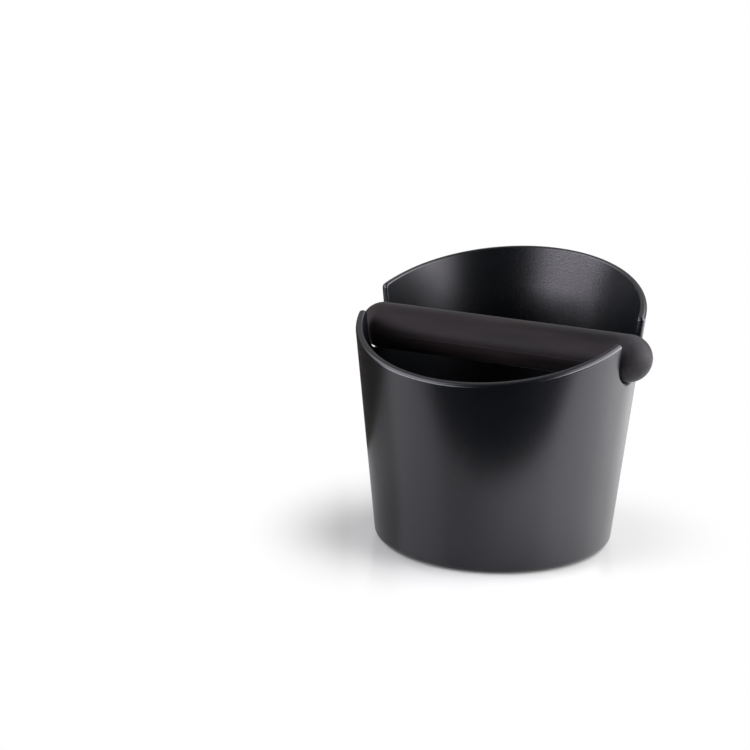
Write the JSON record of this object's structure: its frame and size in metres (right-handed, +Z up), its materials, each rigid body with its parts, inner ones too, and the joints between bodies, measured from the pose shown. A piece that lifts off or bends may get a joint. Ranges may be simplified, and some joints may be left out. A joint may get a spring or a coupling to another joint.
{
  "type": "espresso knock box",
  "caption": "Tapered round counter-top tub with a slanted rim and a loose rubber-covered bar across two notches, for knocking spent coffee out of a portafilter.",
  "frame": {"origin": "centre of the base, on the counter plane that the base ring stands on", "axes": "+Z up, +X along the knock bar, -Y towards the low front lip, +Y towards the high back lip"},
  "size_m": [0.152, 0.1417, 0.1332],
  "materials": {
    "tub_plastic": "fine satin moulded texture",
    "base_rubber": "matte",
    "core_steel": "drawn bar",
    "bar_rubber": "matte, moulded in one piece"
  },
  "bodies": {
    "tub": {"container": "tub_plastic", "base_ring": "base_rubber"},
    "bar": {"bar_core": "core_steel"},
    "cover": {"bar_cover": "bar_rubber"}
  },
  "joints": [
    {"name": "bar_lift", "type": "slide", "parent": "tub", "child": "bar", "axis": [0, 0, 1], "range_m": [0, 0.06]},
    {"name": "bar_roll", "type": "hinge", "parent": "bar", "child": "cover", "pos_m": [0.00275, 0, 0.1], "axis": [1, 0, 0], "continuous": true}
  ]
}
